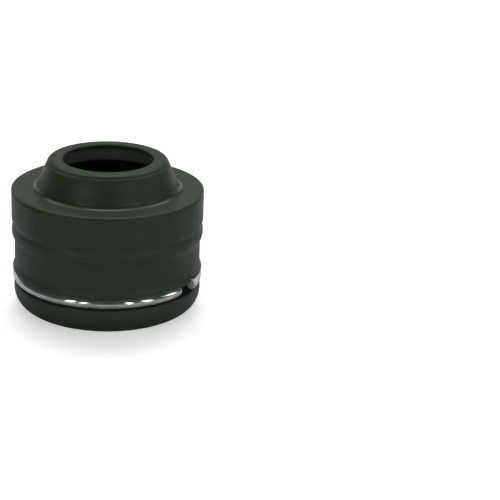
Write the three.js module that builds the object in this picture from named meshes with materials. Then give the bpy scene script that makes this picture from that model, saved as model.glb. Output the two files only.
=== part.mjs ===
// Valve stem oil seal: a moulded rubber body and the split spring-wire ring that clamps its foot on the valve guide.
// Millimetres, +Z up. The axis of the seal is the Z axis and its foot stands on z = 0.
import * as THREE from "three";

// What the seal fits: the lip wipes the valve stem, and the bore grips the top of the valve guide around that stem.
const lipRadius = 4.2;
const guideWall = 1.9;

// Rubber body
const bodyWall = 2.9;
const crownThickness = 1.5;
const shoulderEdge = 0.15;

// Relief of the outer side, each measured in from the full body radius
const skirtRelief = 0.2;
const waistRelief = 0.27;
const ridgeRelief = 0.02;
const grooveRelief = 0.14;

// Stretches of the outer side, from the waist up to the shoulder
const waistHeight = 2.13;
const ridgeFlank = 0.7;
const ridgeWidth = 0.6;
const ridgeCrest = 0.03;
const grooveLowerFlank = 0.35;
const grooveUpperFlank = 0.55;
const bandHeight = 2.8;

// Skirt below the ring
const skirtHeight = 2.5;
const skirtEdge = 0.12;
const footRound = 1.93;
const footTrim = 0.1;

// Clamp ring of round spring wire
const wireRadius = 0.5;
const ringProud = 0.1;
const gapUnderRing = 0.1;
const ringClearance = 0.1;
const ringGapStart = 51;
const ringGapEnd = 60.5;

// Rubber bead that holds the ring down
const beadRound = 0.3;
const beadRelief = 0.08;
const beadLift = 0.16;
const beadReach = 50;
const beadFlare = 0.22;

// Neck with the sealing lip at its mouth
const neckHeight = 2.85;
const neckDraft = 23.5;
const neckFootWall = 2.25;
const neckFillet = 0.6;
const neckRound = 0.5;
const lipUndercut = 0.7;
const lipLand = 0.08;
const lipDrop = 0.07;
const lipBevel = 0.15;
const lipDepth = 0.64;
const chamberDepth = 1.75;
const chamberStep = 0.4;
const chamberStepHeight = 0.2;

// Inside of the bore
const leadIn = 0.4;
const leadInHeight = 0.5;
const ribHeight = 0.25;
const ribHalfWidth = 0.35;
const ribPitch = 1.4;
const ribSetback = 1.7;
const gripHeight = 0.35;
const gripHalfWidth = 0.25;
const gripSlope = 0.35;

// Fineness of the round forms
const turnSteps = 48;
const wireSides = 12;

// Sizes worked out from the driving dimensions
const boreRadius = lipRadius + guideWall;
const bodyRadius = boreRadius + bodyWall;
const skirtRadius = bodyRadius - skirtRelief;
const waistRadius = bodyRadius - waistRelief;
const ridgeRadius = bodyRadius - ridgeRelief;
const chamberRadius = lipRadius + lipUndercut;
const seatRadius = wireRadius + ringClearance;
const ringRadius = skirtRadius + ringProud - wireRadius;
const ringZ = skirtHeight + gapUnderRing + wireRadius;
const beadZ = ringZ + seatRadius + beadLift;
const waistFootZ = beadZ + beadRound + beadFlare;
const ridgeFootZ = waistFootZ + waistHeight;
const ridgeLowZ = ridgeFootZ + ridgeFlank;
const ridgeHighZ = ridgeLowZ + ridgeWidth;
const grooveZ = ridgeHighZ + grooveLowerFlank;
const bandFootZ = grooveZ + grooveUpperFlank;
const shoulderZ = bandFootZ + bandHeight;
const boreDepth = shoulderZ - crownThickness;
const topZ = shoulderZ + neckHeight;

// Points of one profile, each a radius and a height
function profilePath() {
  const points = [];
  const path = {
    points,
    to(radius, z) {
      points.push(new THREE.Vector2(radius, z));
      return path;
    },
    // Round stretch about a centre, with angles in degrees from straight outwards
    round(centreRadius, centreZ, size, from, until, steps) {
      for (let i = 0; i <= steps; i += 1) {
        const angle = THREE.MathUtils.degToRad(from + ((until - from) * i) / steps);
        path.to(centreRadius + size * Math.cos(angle), centreZ + size * Math.sin(angle));
      }
      return path;
    },
  };
  return path;
}

// Foot, skirt and the groove that the ring lies in, from the mouth of the bore to the lip over the ring
function addSkirt(path) {
  const round = Math.min(footRound, skirtHeight - skirtEdge);
  const footAngle = -THREE.MathUtils.radToDeg(Math.asin((round - footTrim) / round));
  path
    .to(boreRadius + leadIn, 0)
    .round(skirtRadius - round, round - footTrim, round, footAngle, 0, 6)
    .round(skirtRadius - skirtEdge, skirtHeight - skirtEdge, skirtEdge, 0, 90, 2)
    .round(ringRadius, ringZ, seatRadius, 270, beadReach, 8);
}

// Bead over the ring, waist, ridge, groove and plain band, up to the edge of the shoulder
function addSide(path) {
  path
    .round(bodyRadius - beadRelief - beadRound, beadZ, beadRound, -45, 45, 4)
    .to(waistRadius, waistFootZ)
    .to(waistRadius, ridgeFootZ)
    .to(ridgeRadius - ridgeCrest, ridgeLowZ)
    .to(ridgeRadius, ridgeLowZ + ridgeWidth / 2)
    .to(ridgeRadius - ridgeCrest, ridgeHighZ)
    .to(bodyRadius - grooveRelief, grooveZ)
    .to(bodyRadius, bandFootZ)
    .round(bodyRadius - shoulderEdge, shoulderZ - shoulderEdge, shoulderEdge, 0, 90, 3);
}

// Shoulder fillet, tapered neck and rounded rim, in to the edge of the sealing lip
function addNeck(path) {
  const draft = THREE.MathUtils.degToRad(neckDraft);
  const footRadius = chamberRadius + neckFootWall;
  const coneFootRadius = footRadius - neckFillet * Math.cos(draft);
  const coneFootZ = shoulderZ + neckFillet * (1 - Math.sin(draft));
  const coneTopZ = topZ - neckRound * (1 - Math.sin(draft));
  const coneTopRadius = coneFootRadius - (coneTopZ - coneFootZ) * Math.tan(draft);
  path
    .round(footRadius, shoulderZ + neckFillet, neckFillet, 270, 180 + neckDraft, 4)
    .round(coneTopRadius - neckRound * Math.cos(draft), topZ - neckRound, neckRound, neckDraft, 90, 5)
    .to(lipRadius + lipBevel, topZ)
    .to(lipRadius, topZ - lipDrop)
    .to(lipRadius, topZ - lipDrop - lipLand);
}

// Underside of the lip, stem chamber and the stop face that the guide comes up against
function addChamber(path) {
  const stepZ = topZ - chamberDepth;
  path
    .to(chamberRadius, topZ - lipDepth)
    .to(chamberRadius, stepZ)
    .to(chamberRadius + chamberStep, stepZ - chamberStepHeight)
    .to(chamberRadius + chamberStep, boreDepth)
    .to(boreRadius, boreDepth);
}

// Sealing ribs and the grip bead at the level of the ring, down to the lead-in at the mouth
function addBore(path) {
  const gripTop = ringZ + gripHalfWidth + gripSlope;
  const lowestRib = gripTop + 2 * ribHalfWidth;
  for (let z = boreDepth - ribSetback; z > lowestRib; z -= ribPitch) {
    path
      .to(boreRadius, z + ribHalfWidth)
      .to(boreRadius - ribHeight, z)
      .to(boreRadius, z - ribHalfWidth);
  }
  path
    .to(boreRadius, gripTop)
    .to(boreRadius - gripHeight, ringZ + gripHalfWidth)
    .to(boreRadius - gripHeight, ringZ - gripHalfWidth)
    .to(boreRadius, ringZ - gripHalfWidth - gripSlope)
    .to(boreRadius, leadInHeight)
    .to(boreRadius + leadIn, 0);
}

// Rubber body: one closed profile turned about the axis
function sealBodyGeometry() {
  const path = profilePath();
  addSkirt(path);
  addSide(path);
  addNeck(path);
  addChamber(path);
  addBore(path);
  return new THREE.LatheGeometry(path.points, turnSteps).rotateX(Math.PI / 2);
}

// Centre line of the wire: a level circle, open over the gap, with angles from -Y towards +X
class RingLine extends THREE.Curve {
  getPoint(t, target = new THREE.Vector3()) {
    const turn = 360 - (ringGapEnd - ringGapStart);
    const angle = THREE.MathUtils.degToRad(ringGapEnd + turn * t);
    return target.set(ringRadius * Math.sin(angle), -ringRadius * Math.cos(angle), ringZ);
  }
}

// Clamp ring: the round section of the wire carried along its centre line, cut square at both ends
function clampRingGeometry() {
  const section = new THREE.Shape();
  for (let i = 0; i < wireSides; i += 1) {
    const angle = (2 * Math.PI * i) / wireSides;
    const x = wireRadius * Math.cos(angle);
    const y = wireRadius * Math.sin(angle);
    if (i === 0) section.moveTo(x, y);
    else section.lineTo(x, y);
  }
  section.closePath();
  return new THREE.ExtrudeGeometry(section, {
    steps: turnSteps,
    extrudePath: new RingLine(),
    bevelEnabled: false,
  });
}

function namedMesh(name, geometry, finish) {
  const mesh = new THREE.Mesh(geometry, new THREE.MeshStandardMaterial(finish));
  mesh.name = name;
  return mesh;
}

const greenRubber = { color: 0x35433a, roughness: 0.55, metalness: 0 };
const brightWire = { color: 0xc6cac8, roughness: 0.2, metalness: 1 };

const oilSeal = new THREE.Group();
oilSeal.add(namedMesh("seal_body", sealBodyGeometry(), greenRubber));
oilSeal.add(namedMesh("clamp_ring", clampRingGeometry(), brightWire));

export default oilSeal;
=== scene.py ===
import math

import bmesh
import bpy
from mathutils import Matrix, Vector, noise


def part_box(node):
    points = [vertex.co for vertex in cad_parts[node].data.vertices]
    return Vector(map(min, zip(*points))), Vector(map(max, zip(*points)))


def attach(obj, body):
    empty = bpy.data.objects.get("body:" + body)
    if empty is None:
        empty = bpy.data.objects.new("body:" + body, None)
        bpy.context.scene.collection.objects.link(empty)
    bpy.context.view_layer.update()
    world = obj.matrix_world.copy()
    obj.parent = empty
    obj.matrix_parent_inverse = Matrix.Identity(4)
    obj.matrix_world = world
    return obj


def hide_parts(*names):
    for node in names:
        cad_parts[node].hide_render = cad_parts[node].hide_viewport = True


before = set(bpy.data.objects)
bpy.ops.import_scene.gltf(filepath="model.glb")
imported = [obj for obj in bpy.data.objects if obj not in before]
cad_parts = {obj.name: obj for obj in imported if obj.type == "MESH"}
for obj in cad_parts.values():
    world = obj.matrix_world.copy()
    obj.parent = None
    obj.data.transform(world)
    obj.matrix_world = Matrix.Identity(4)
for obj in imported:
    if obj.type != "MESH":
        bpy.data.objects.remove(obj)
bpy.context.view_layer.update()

MM = 0.001

# Rubber body
# One moulding of dark green fluoro-rubber, pressed in a turned steel mould. Its foot grips the valve guide and its
# lip wipes the valve stem. The groove above the skirt holds the spring ring, under a soft bead of the same rubber.

body_low, body_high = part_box("seal_body")
body_radius = body_high.x / MM
top_z = body_high.z / MM
bore_radius = body_radius - 2.9
lip_radius = bore_radius - 1.9
chamber_radius = lip_radius + 0.7
skirt_radius = body_radius - 0.2
waist_radius = body_radius - 0.27
ridge_radius = body_radius - 0.02
groove_radius = body_radius - 0.14
shoulder_z = top_z - 2.85
bore_depth = shoulder_z - 1.5

wire_radius = 0.5
skirt_top = 2.5
ring_z = skirt_top + 0.1 + wire_radius
ring_radius = skirt_radius + 0.1 - wire_radius
seat_radius = wire_radius + 0.1
bead_round = 0.3
bead_z = ring_z + seat_radius + 0.16


class HalfSection:
    """Half section of a turned form: points of radius and height in millimetres, joined in order."""

    def __init__(self):
        self.points = []

    def to(self, radius, z):
        self.points.append((radius, z))
        return self

    def along(self, radius, z, steps):
        """Straight stretch, cut into steps so that its surface can be uneven."""
        start_radius, start_z = self.points[-1]
        for i in range(1, steps + 1):
            t = i / steps
            self.to(start_radius + (radius - start_radius) * t, start_z + (z - start_z) * t)
        return self

    def arc(self, centre_radius, centre_z, size, start, end, steps=10):
        """Round stretch, with angles in degrees from straight outwards."""
        for i in range(steps + 1):
            angle = math.radians(start + (end - start) * i / steps)
            self.to(centre_radius + size * math.cos(angle), centre_z + size * math.sin(angle))
        return self

    def swell(self, radius, z, steps=8):
        """Stretch that leaves upright and arrives upright, as a moulded ridge does."""
        start_radius, start_z = self.points[-1]
        for i in range(1, steps + 1):
            t = i / steps
            ease = (1 - math.cos(math.pi * t)) / 2
            self.to(start_radius + (radius - start_radius) * ease, start_z + (z - start_z) * t)
        return self


def draw_outside(section):
    foot_round = 1.93
    foot_trim = 0.1
    foot_angle = -math.degrees(math.asin((foot_round - foot_trim) / foot_round))
    skirt_edge = 0.12
    section.to(bore_radius + 0.45, 0)
    section.arc(skirt_radius - foot_round, foot_round - foot_trim, foot_round, foot_angle, 0, 18)
    section.arc(skirt_radius - skirt_edge, skirt_top - skirt_edge, skirt_edge, 0, 90, 6)
    section.arc(ring_radius, ring_z, seat_radius, 268, 52, 22)
    section.arc(body_radius - 0.08 - bead_round, bead_z, bead_round, -48, 42, 10)
    section.swell(waist_radius, bead_z + bead_round + 0.22, 6)
    section.along(waist_radius, 6.4, 8)
    section.swell(ridge_radius, 7.36, 10)
    section.along(ridge_radius, 7.7, 2)
    section.swell(groove_radius, 8.14, 6)
    section.swell(body_radius, 8.71, 7)
    shoulder_edge = 0.15
    section.along(body_radius, shoulder_z - shoulder_edge, 10)
    section.arc(body_radius - shoulder_edge, shoulder_z - shoulder_edge, shoulder_edge, 0, 90, 7)


def draw_neck(section):
    draft = math.radians(23.5)
    fillet = 0.6
    crown = 0.5
    foot_radius = chamber_radius + 2.25
    cone_foot_radius = foot_radius - fillet * math.cos(draft)
    cone_foot_z = shoulder_z + fillet * (1 - math.sin(draft))
    cone_top_z = top_z - crown * (1 - math.sin(draft))
    cone_top_radius = cone_foot_radius - (cone_top_z - cone_foot_z) * math.tan(draft)
    crown_centre = cone_top_radius - crown * math.cos(draft)
    section.along(foot_radius + 0.02, shoulder_z, 6)
    section.arc(foot_radius, shoulder_z + fillet, fillet, 270, 203.5, 12)
    section.along(cone_top_radius, cone_top_z, 6)
    section.arc(crown_centre, top_z - crown, crown, 23.5, 90, 10)
    section.along(lip_radius + 0.15, top_z, 4)
    section.arc(lip_radius + 0.15, top_z - 0.07, 0.07, 90, 150, 4)
    section.to(lip_radius, top_z - 0.1)
    section.to(lip_radius, top_z - 0.15)


def draw_inside(section):
    edge = 0.06
    step_z = top_z - 1.75
    section.to(lip_radius + 0.03, top_z - 0.2)
    section.to(chamber_radius - edge, top_z - 0.64 + 0.02)
    section.to(chamber_radius, top_z - 0.64 - edge)
    section.along(chamber_radius, step_z, 6)
    section.to(chamber_radius + 0.4, step_z - 0.2)
    section.along(chamber_radius + 0.4, bore_depth + edge, 5)
    section.to(chamber_radius + 0.4 + edge, bore_depth)
    section.along(bore_radius - edge, bore_depth, 3)
    section.to(bore_radius, bore_depth - edge)
    rib_height = 0.25
    rib_half_width = 0.35
    for rib in range(3):
        rib_z = bore_depth - 1.7 - 1.4 * rib
        section.to(bore_radius, rib_z + rib_half_width)
        section.swell(bore_radius - rib_height, rib_z, 5)
        section.swell(bore_radius, rib_z - rib_half_width, 5)
    grip_radius = bore_radius - 0.35
    section.to(bore_radius, ring_z + 0.6)
    section.swell(grip_radius, ring_z + 0.25, 5)
    section.to(grip_radius, ring_z - 0.25)
    section.swell(bore_radius, ring_z - 0.6, 5)
    section.to(bore_radius, 0.5)
    section.to(bore_radius + 0.4, 0.03)


def moulding_drift(radius, z, angle):
    """How far the rubber stands out from the true form, in millimetres: it cools and lies on the wire unevenly."""
    place = Vector((math.sin(angle) * 1.4, math.cos(angle) * 1.4, z * 0.16))
    drift = 0.008 * noise.noise(place)
    near_bead = math.exp(-((z - bead_z) / 0.3) ** 2)
    wave = Vector((math.sin(angle) * 5.0, math.cos(angle) * 5.0, 3.0))
    return drift + 0.022 * near_bead * noise.noise(wave)


def turn_body(section, turns):
    """Closed mesh of the half section turned about the axis, with a trace of unevenness on the outer side."""
    mesh = bpy.data.meshes.new("seal_rubber")
    form = bmesh.new()
    rings = []
    for radius, z in section.points:
        ring = []
        for i in range(turns):
            angle = 2 * math.pi * i / turns
            outer = radius > bore_radius + 1.2 and 1.0 < z < shoulder_z - 0.3
            reach = radius + (moulding_drift(radius, z, angle) - 0.012 if outer else 0)
            place = (reach * MM * math.sin(angle), -reach * MM * math.cos(angle), z * MM)
            ring.append(form.verts.new(place))
        rings.append(ring)
    for below, above in zip(rings, rings[1:] + rings[:1]):
        for i in range(turns):
            j = (i + 1) % turns
            form.faces.new((below[i], below[j], above[j], above[i]))
    for face in form.faces:
        face.smooth = True
    bmesh.ops.recalc_face_normals(form, faces=form.faces)
    form.to_mesh(mesh)
    form.free()
    return mesh


body_section = HalfSection()
draw_outside(body_section)
draw_neck(body_section)
draw_inside(body_section)
seal_rubber = bpy.data.objects.new("seal_rubber", turn_body(body_section, 240))
bpy.context.collection.objects.link(seal_rubber)


def node(tree, kind, **settings):
    """New shader node with its settings."""
    made = tree.nodes.new(kind)
    for name, value in settings.items():
        setattr(made, name, value)
    return made


def fill(made, **values):
    """Sets a node's inputs by name, with an underscore for each space, and gives the node back."""
    for name, value in values.items():
        made.inputs[name.replace("_", " ")].default_value = value
    return made


def new_group(name, inputs, outputs):
    """Empty shader node group with float inputs and their first values, and named float outputs."""
    group = bpy.data.node_groups.new(name, "ShaderNodeTree")
    for label, value in inputs.items():
        socket = group.interface.new_socket(label, in_out="INPUT", socket_type="NodeSocketFloat")
        socket.default_value = value
    for label in outputs:
        group.interface.new_socket(label, in_out="OUTPUT", socket_type="NodeSocketFloat")
    entry = group.nodes.new("NodeGroupInput")
    leave = group.nodes.new("NodeGroupOutput")
    return group, entry, leave


def cloud_group():
    """Soft cloudy patches over a piece, as handling and uneven cure leave them. Size is in patches to the metre."""
    group, entry, leave = new_group("soft patches", {"Size": 300.0, "Place": 0.0, "Low": 0.35, "High": 0.65}, ["Mask"])
    links = group.links
    where = node(group, "ShaderNodeTexCoord")
    cloud = fill(node(group, "ShaderNodeTexNoise", noise_dimensions="4D"), Detail=2.5, Roughness=0.5)
    spread = node(group, "ShaderNodeMapRange", interpolation_type="SMOOTHSTEP")
    links.new(where.outputs["Object"], cloud.inputs["Vector"])
    links.new(entry.outputs["Size"], cloud.inputs["Scale"])
    links.new(entry.outputs["Place"], cloud.inputs["W"])
    links.new(cloud.outputs["Fac"], spread.inputs["Value"])
    links.new(entry.outputs["Low"], spread.inputs["From Min"])
    links.new(entry.outputs["High"], spread.inputs["From Max"])
    links.new(spread.outputs["Result"], leave.inputs["Mask"])
    return group


def grain_group():
    """Fine grain of a moulded or sheared surface, as a height. Fineness is in grains to the metre."""
    group, entry, leave = new_group("fine grain", {"Fineness": 9000.0, "Pits": 0.3}, ["Height"])
    links = group.links
    where = node(group, "ShaderNodeTexCoord")
    grain = fill(node(group, "ShaderNodeTexNoise"), Detail=4.0, Roughness=0.6)
    pits = node(group, "ShaderNodeTexVoronoi", feature="SMOOTH_F1")
    pit_depth = node(group, "ShaderNodeMath", operation="MULTIPLY")
    total = node(group, "ShaderNodeMath", operation="ADD")
    for texture in (grain, pits):
        links.new(where.outputs["Object"], texture.inputs["Vector"])
        links.new(entry.outputs["Fineness"], texture.inputs["Scale"])
    links.new(pits.outputs["Distance"], pit_depth.inputs[0])
    links.new(entry.outputs["Pits"], pit_depth.inputs[1])
    links.new(grain.outputs["Fac"], total.inputs[0])
    links.new(pit_depth.outputs["Value"], total.inputs[1])
    links.new(total.outputs["Value"], leave.inputs["Height"])
    return group


def band_group():
    """Mask by height on a piece, from 0 at Low to Most at High. Heights are in metres and may fall."""
    group, entry, leave = new_group("height band", {"Low": 0.0, "High": 0.001, "Most": 1.0}, ["Mask"])
    links = group.links
    where = node(group, "ShaderNodeTexCoord")
    split = node(group, "ShaderNodeSeparateXYZ")
    rise = node(group, "ShaderNodeMapRange", interpolation_type="SMOOTHSTEP")
    links.new(where.outputs["Object"], split.inputs["Vector"])
    links.new(split.outputs["Z"], rise.inputs["Value"])
    links.new(entry.outputs["Low"], rise.inputs["From Min"])
    links.new(entry.outputs["High"], rise.inputs["From Max"])
    links.new(entry.outputs["Most"], rise.inputs["To Max"])
    links.new(rise.outputs["Result"], leave.inputs["Mask"])
    return group


def axis_group():
    """Mask of all that lies nearer a piece's upright axis than Radius, in metres."""
    group, entry, leave = new_group("near the axis", {"Radius": 0.005}, ["Mask"])
    links = group.links
    where = node(group, "ShaderNodeTexCoord")
    level = node(group, "ShaderNodeVectorMath", operation="MULTIPLY")
    level.inputs[1].default_value = (1.0, 1.0, 0.0)
    distance = node(group, "ShaderNodeVectorMath", operation="LENGTH")
    nearer = node(group, "ShaderNodeMath", operation="LESS_THAN")
    links.new(where.outputs["Object"], level.inputs[0])
    links.new(level.outputs["Vector"], distance.inputs[0])
    links.new(distance.outputs["Value"], nearer.inputs[0])
    links.new(entry.outputs["Radius"], nearer.inputs[1])
    links.new(nearer.outputs["Value"], leave.inputs["Mask"])
    return group


soft_patches = cloud_group()
fine_grain = grain_group()
height_band = band_group()
near_axis = axis_group()


def place_group(tree, group, **values):
    made = tree.nodes.new("ShaderNodeGroup")
    made.node_tree = group
    return fill(made, **values)


def linear(red, green, blue):
    """Shader colour from the three eight-bit values that a colour card gives."""
    def channel(value):
        value /= 255
        return value / 12.92 if value <= 0.04045 else ((value + 0.055) / 1.055) ** 2.4
    return (channel(red), channel(green), channel(blue), 1.0)


def mix_colour(tree, mask, first, second):
    """Mix node between two colours or colour sockets, led by a mask socket."""
    mix = node(tree, "ShaderNodeMix", data_type="RGBA")
    tree.links.new(mask, mix.inputs["Factor"])
    for socket, colour in ((mix.inputs[6], first), (mix.inputs[7], second)):
        if isinstance(colour, tuple):
            socket.default_value = colour
        else:
            tree.links.new(colour, socket)
    return mix.outputs[2]


def new_material(name):
    material = bpy.data.materials.new(name)
    material.use_nodes = True
    return material, material.node_tree, material.node_tree.nodes["Principled BSDF"]


def overlap(tree, first, second):
    """Mask that is on only where both of two masks are."""
    product = node(tree, "ShaderNodeMath", operation="MULTIPLY")
    tree.links.new(first, product.inputs[0])
    tree.links.new(second, product.inputs[1])
    return product.outputs["Value"]


def rubber_colour(tree):
    """Green in soft patches, by height: leaf green on the neck, bluer down the side, greyer on the skirt as a painted
    reflection. Inside, painted shade darkens the bore and painted light greys the chamber wall.
    """
    fresh_green = linear(45, 65, 40)
    blue_green = linear(47, 67, 54)
    olive_green = linear(49, 67, 38)
    neck_green = linear(38, 59, 31)
    skirt_reflection_grey = linear(52, 64, 52)
    shaded_bore = linear(7, 9, 7)
    painted_chamber_light = linear(80, 85, 80)

    def band(low, high, most):
        return place_group(tree, height_band, Low=low * MM, High=high * MM, Most=most).outputs["Mask"]

    def within(radius):
        return place_group(tree, near_axis, Radius=radius * MM).outputs["Mask"]

    cool = place_group(tree, soft_patches, Size=210.0, Place=1.0).outputs["Mask"]
    warm = place_group(tree, soft_patches, Size=170.0, Place=7.0, Low=0.45, High=0.72).outputs["Mask"]
    colour = mix_colour(tree, cool, fresh_green, blue_green)
    colour = mix_colour(tree, warm, colour, olive_green)
    colour = mix_colour(tree, band(11.3, 9.8, 0.75), colour, blue_green)
    colour = mix_colour(tree, band(shoulder_z - 0.1, shoulder_z + 0.5, 0.8), colour, neck_green)
    # painted reflection: the skirt below the ring is greyer, as the surface it stands on shows in it
    colour = mix_colour(tree, band(3.4, 2.2, 0.85), colour, skirt_reflection_grey)

    bore = overlap(tree, within(bore_radius + 0.05), band(top_z - 1.6, top_z - 2.0, 0.9))
    colour = mix_colour(tree, bore, colour, shaded_bore)
    # painted light: the chamber wall under the lip is lighter grey, where light falls in through the opening
    above_step = overlap(tree, band(top_z - 0.3, top_z - 0.5, 0.8), band(top_z - 1.9, top_z - 1.6, 1.0))
    chamber = overlap(tree, within(chamber_radius + 0.03), above_step)
    return mix_colour(tree, chamber, colour, painted_chamber_light)


def green_rubber():
    """Dark green fluoro-rubber, satin from the mould and smoother in the fillet round the foot of the neck."""
    material, tree, shader = new_material("green rubber")
    links = tree.links
    links.new(rubber_colour(tree), shader.inputs["Base Color"])

    dull = place_group(tree, soft_patches, Size=520.0, Place=3.0)
    polish = fill(node(tree, "ShaderNodeMapRange"), To_Min=0.4, To_Max=0.5)
    low_edge = place_group(tree, height_band, Low=(shoulder_z - 0.02) * MM, High=(shoulder_z + 0.04) * MM)
    high_edge = place_group(tree, height_band, Low=(shoulder_z + 0.6) * MM, High=(shoulder_z + 0.3) * MM)
    fillet = overlap(tree, low_edge.outputs["Mask"], high_edge.outputs["Mask"])
    roughness = node(tree, "ShaderNodeMix", data_type="FLOAT")
    roughness.inputs[3].default_value = 0.25
    links.new(dull.outputs["Mask"], polish.inputs["Value"])
    links.new(fillet, roughness.inputs["Factor"])
    links.new(polish.outputs["Result"], roughness.inputs[2])
    links.new(roughness.outputs[0], shader.inputs["Roughness"])

    grain = place_group(tree, fine_grain, Fineness=7000.0, Pits=0.4)
    bump = fill(node(tree, "ShaderNodeBump"), Strength=0.25, Distance=0.012 * MM)
    links.new(grain.outputs["Height"], bump.inputs["Height"])
    links.new(bump.outputs["Normal"], shader.inputs["Normal"])
    shader.inputs["Specular IOR Level"].default_value = 0.22
    return material


seal_rubber.data.materials.append(green_rubber())
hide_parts("seal_body")
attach(seal_rubber, "root")

# Spring ring
# One turn of bright drawn spring wire, bent round and cut off square with shears. It snaps into the groove of the
# rubber and clamps the foot on the guide. Its gap faces forward on the right, where both ends spring a little free.

gap_start = math.radians(51)
gap_end = math.radians(60.5)
wire_sides = 28
wire_steps = 300
end_chamfer = 0.05
far_end_spring = 0.45
far_end_lift = 0.38
near_end_lift = 0.15


def wire_stations():
    """Places along the wire, each an angle from -Y towards +X and the wire's radius there."""
    turn = 2 * math.pi - (gap_end - gap_start)
    chamfer_turn = end_chamfer / ring_radius
    start = [(gap_end, wire_radius - end_chamfer), (gap_end + chamfer_turn, wire_radius)]
    middle = [(gap_end + turn * i / wire_steps, wire_radius) for i in range(1, wire_steps)]
    end = [(gap_end + turn - chamfer_turn, wire_radius), (gap_end + turn, wire_radius - end_chamfer)]
    return start + middle + end


def sprung(angle, end_angle, turn):
    """How much of an end's spring the wire has here, from 0 in the groove to 1 at the cut."""
    rest = max(0.0, 1 - abs(angle - end_angle) / math.radians(turn))
    return rest * rest


def bend_wire():
    """Round wire carried once round the ring, with a UV map that runs along it and round it in millimetres."""
    mesh = bpy.data.meshes.new("spring_ring")
    form = bmesh.new()
    along_wire = form.loops.layers.uv.new("along_wire")
    rings = []
    stations = wire_stations()
    for angle, size in stations:
        ring = []
        far_end = sprung(angle, gap_end, 22)
        near_end = sprung(angle, gap_start + 2 * math.pi, 16)
        centre_radius = ring_radius + far_end_spring * far_end
        centre_z = ring_z + far_end_lift * far_end + near_end_lift * near_end
        for side in range(wire_sides):
            turn = 2 * math.pi * side / wire_sides
            reach = (centre_radius + size * math.cos(turn)) * MM
            height = (centre_z + size * math.sin(turn)) * MM
            ring.append(form.verts.new((reach * math.sin(angle), -reach * math.cos(angle), height)))
        rings.append(ring)
    for step in range(len(rings) - 1):
        for side in range(wire_sides):
            following = (side + 1) % wire_sides
            corners = (rings[step][side], rings[step][following], rings[step + 1][following], rings[step + 1][side])
            face = form.faces.new(corners)
            face.smooth = True
            marks = ((step, side), (step, side + 1), (step + 1, side + 1), (step + 1, side))
            for loop, (station, place) in zip(face.loops, marks):
                length = stations[station][0] * ring_radius
                girth = place / wire_sides * 2 * math.pi * wire_radius
                loop[along_wire].uv = (length, girth)
    for cut in (rings[0], rings[-1]):
        form.faces.new(cut).material_index = 1
    bmesh.ops.recalc_face_normals(form, faces=form.faces)
    form.to_mesh(mesh)
    form.free()
    return mesh


def drawn_wire():
    """Bright spring wire, with faint lines along it from the drawing die and dull patches from handling."""
    material, tree, shader = new_material("bright drawn wire")
    links = tree.links
    dull = place_group(tree, soft_patches, Size=900.0, Place=5.0)
    colour = mix_colour(tree, dull.outputs["Mask"], linear(226, 228, 224), linear(206, 209, 203))
    links.new(colour, shader.inputs["Base Color"])
    polish = fill(node(tree, "ShaderNodeMapRange"), To_Min=0.1, To_Max=0.16)
    links.new(dull.outputs["Mask"], polish.inputs["Value"])
    links.new(polish.outputs["Result"], shader.inputs["Roughness"])

    unrolled = node(tree, "ShaderNodeUVMap", uv_map="along_wire")
    stretch = node(tree, "ShaderNodeMapping")
    stretch.inputs["Scale"].default_value = (0.5, 22.0, 1.0)
    lines = fill(node(tree, "ShaderNodeTexNoise"), Scale=1.0, Detail=3.0)
    bump = fill(node(tree, "ShaderNodeBump"), Strength=0.3, Distance=0.004 * MM)
    links.new(unrolled.outputs["UV"], stretch.inputs["Vector"])
    links.new(stretch.outputs["Vector"], lines.inputs["Vector"])
    links.new(lines.outputs["Fac"], bump.inputs["Height"])
    links.new(bump.outputs["Normal"], shader.inputs["Normal"])
    shader.inputs["Metallic"].default_value = 0.85
    return material


def sheared_end():
    """The wire's cut face: torn, greyer steel."""
    material, tree, shader = new_material("sheared wire end")
    links = tree.links
    torn = place_group(tree, soft_patches, Size=2600.0, Place=2.0)
    colour = mix_colour(tree, torn.outputs["Mask"], linear(228, 229, 225), linear(196, 198, 194))
    links.new(colour, shader.inputs["Base Color"])
    grain = place_group(tree, fine_grain, Fineness=9000.0, Pits=0.6)
    bump = fill(node(tree, "ShaderNodeBump"), Strength=0.5, Distance=0.02 * MM)
    links.new(grain.outputs["Height"], bump.inputs["Height"])
    links.new(bump.outputs["Normal"], shader.inputs["Normal"])
    shader.inputs["Metallic"].default_value = 1.0
    shader.inputs["Roughness"].default_value = 0.6
    return material


spring_ring = bpy.data.objects.new("spring_ring", bend_wire())
bpy.context.collection.objects.link(spring_ring)
spring_ring.data.materials.append(drawn_wire())
spring_ring.data.materials.append(sheared_end())
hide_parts("clamp_ring")
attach(spring_ring, "root")

# Floor
# A plain white table top that runs out of sight on every side. To the camera it is white but for the seal's shadow,
# and it throws back less light than it shows, as paper in the shade of the camera does.


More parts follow.
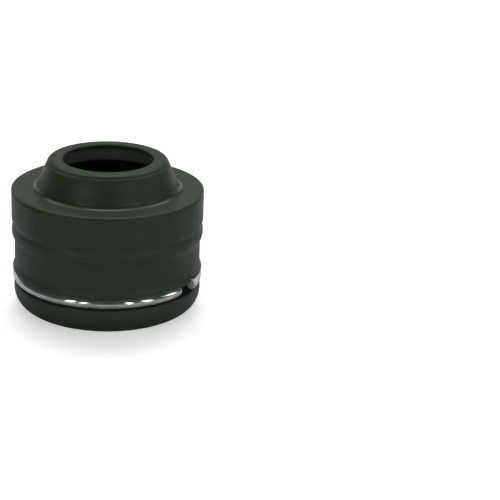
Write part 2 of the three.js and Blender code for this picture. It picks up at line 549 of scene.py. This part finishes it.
def table_top():
    material, tree, shader = new_material("white table top")
    links = tree.links
    path = node(tree, "ShaderNodeLightPath")
    where = node(tree, "ShaderNodeTexCoord")
    split = node(tree, "ShaderNodeSeparateXYZ")
    behind = node(tree, "ShaderNodeMapRange", interpolation_type="SMOOTHSTEP")
    fill(behind, From_Min=-0.03, From_Max=0.06)
    links.new(where.outputs["Object"], split.inputs["Vector"])
    links.new(split.outputs["Y"], behind.inputs["Value"])
    # painted shade: for the light the table throws back, it is darker in front of the seal, where the camera's shade
    # falls
    shade = mix_colour(tree, behind.outputs["Result"], linear(180, 180, 180), linear(240, 240, 240))
    colour = mix_colour(tree, path.outputs["Is Camera Ray"], shade, linear(250, 250, 250))
    links.new(colour, shader.inputs["Base Color"])
    glow = node(tree, "ShaderNodeMath", operation="MULTIPLY")
    glow.inputs[1].default_value = 0.5
    links.new(path.outputs["Is Camera Ray"], glow.inputs[0])
    links.new(glow.outputs["Value"], shader.inputs["Emission Strength"])
    shader.inputs["Emission Color"].default_value = (1.0, 1.0, 1.0, 1.0)
    shader.inputs["Specular IOR Level"].default_value = 0.0
    shader.inputs["Roughness"].default_value = 0.9
    return material


bpy.ops.mesh.primitive_plane_add(size=6.0, location=(0, 0, -0.02 * MM))
table = bpy.context.object
table.name = "table"
table.data.materials.append(table_top())

# Light
# Narrow upright lamps stand round the front, and the wire shows them as bright spots. Broad ones hang behind and
# above the seal, with a row of small ones at each side. The room is pale low down behind the seal, and dim elsewhere.


def aim(thing, target):
    thing.rotation_euler = (Vector(target) - thing.location).to_track_quat("-Z", "Y").to_euler()


def panel(name, location, target, width, height, radiance):
    """Flat lamp that shines with an even radiance, where 1 is the white of the background."""
    lamp = bpy.data.lights.new(name, "AREA")
    lamp.shape = "RECTANGLE"
    lamp.size = width
    lamp.size_y = height
    lamp.energy = radiance * math.pi * width * height
    holder = bpy.data.objects.new(name, lamp)
    bpy.context.collection.objects.link(holder)
    holder.location = location
    aim(holder, target)
    return holder


seal_middle = (0, 0, 7 * MM)
# A row over each side, from beside the seal to behind it
row_start = Vector((0.35, -0.07, 0.93))
row_end = Vector((0.64, 0.457, 0.616))
row_distance = 0.45
for side in (-1, 1):
    for place in range(5):
        stand = row_start.lerp(row_end, place / 4).normalized() * row_distance
        stand.x *= side
        panel(f"ceiling_row_{'left' if side < 0 else 'right'}_{place}", stand, seal_middle, 0.06, 0.06, 2.4)

# Each lamp's turn from the front to the right, height, width and tallness, all in degrees, and its radiance
lamp_distance = 0.5
lamps = {
    "far_left": (-45, 18, 8, 34, 5.0),
    "left": (-28, 16, 5, 32, 5.0),
    "right": (26, 16, 5, 32, 5.0),
    "far_right": (49, 18, 8, 32, 5.0),
    "side_right": (82, 22, 7, 28, 3.5),
    "back_left": (216, 50, 20, 20, 2.6),
    "back_middle": (180, 50, 20, 20, 2.0),
    "back_right": (144, 50, 20, 20, 3.6),
    "ceiling": (180, 72, 20, 20, 8.3),
}
for name, (azimuth, elevation, wide, tall, radiance) in lamps.items():
    turn = math.radians(azimuth)
    lift = math.radians(elevation)
    reach = lamp_distance * math.cos(lift)
    stand = (reach * math.sin(turn), -reach * math.cos(turn), lamp_distance * math.sin(lift))
    width = lamp_distance * math.radians(wide)
    height = lamp_distance * math.radians(tall)
    panel(f"lamp_{name}", stand, seal_middle, width, height, radiance)


def room_light():
    """Room: white to the camera, and to everything else pale behind the seal and dim at the camera's side."""
    world = bpy.data.worlds.new("studio")
    world.use_nodes = True
    tree = world.node_tree
    links = tree.links
    background = tree.nodes["Background"]
    where = node(tree, "ShaderNodeTexCoord")
    split = node(tree, "ShaderNodeSeparateXYZ")
    behind = node(tree, "ShaderNodeMapRange", interpolation_type="SMOOTHSTEP")
    fill(behind, From_Min=0.3, From_Max=0.95, To_Min=0.04, To_Max=0.8)
    low = node(tree, "ShaderNodeMapRange", interpolation_type="SMOOTHSTEP")
    fill(low, From_Min=0.4, From_Max=0.1, To_Min=0.05, To_Max=1.0)
    sweep = node(tree, "ShaderNodeMath", operation="MULTIPLY")
    links.new(where.outputs["Generated"], split.inputs["Vector"])
    links.new(split.outputs["Y"], behind.inputs["Value"])
    links.new(split.outputs["Z"], low.inputs["Value"])
    links.new(behind.outputs["Result"], sweep.inputs[0])
    links.new(low.outputs["Result"], sweep.inputs[1])
    path = node(tree, "ShaderNodeLightPath")
    level = node(tree, "ShaderNodeMix", data_type="FLOAT")
    level.inputs[3].default_value = 1.0
    links.new(path.outputs["Is Camera Ray"], level.inputs["Factor"])
    links.new(sweep.outputs["Value"], level.inputs[2])
    links.new(level.outputs[0], background.inputs["Strength"])
    background.inputs["Color"].default_value = (1.0, 1.0, 1.0, 1.0)
    return world


bpy.context.scene.world = room_light()

# Camera
# It looks down on the seal from the front, from 18 cm away, and past it to the right, so that the seal stands left
# of the middle.

camera = bpy.data.cameras.new("camera")
camera.lens = 136.797
camera.clip_start = 0.01
camera.clip_end = 20
viewer = bpy.data.objects.new("camera", camera)
bpy.context.collection.objects.link(viewer)
viewer_place = Vector((0, -169.096, 67.869)) * MM
viewer_target = Vector((13.514, 0, 5.294)) * MM
viewer_roll = math.radians(1.8975)
look = (viewer_target - viewer_place).to_track_quat("-Z", "Y").to_matrix().to_4x4()
viewer.matrix_world = Matrix.Translation(viewer_place) @ look @ Matrix.Rotation(viewer_roll, 4, "Z")
bpy.context.scene.camera = viewer
bpy.context.scene.view_settings.view_transform = "Standard"
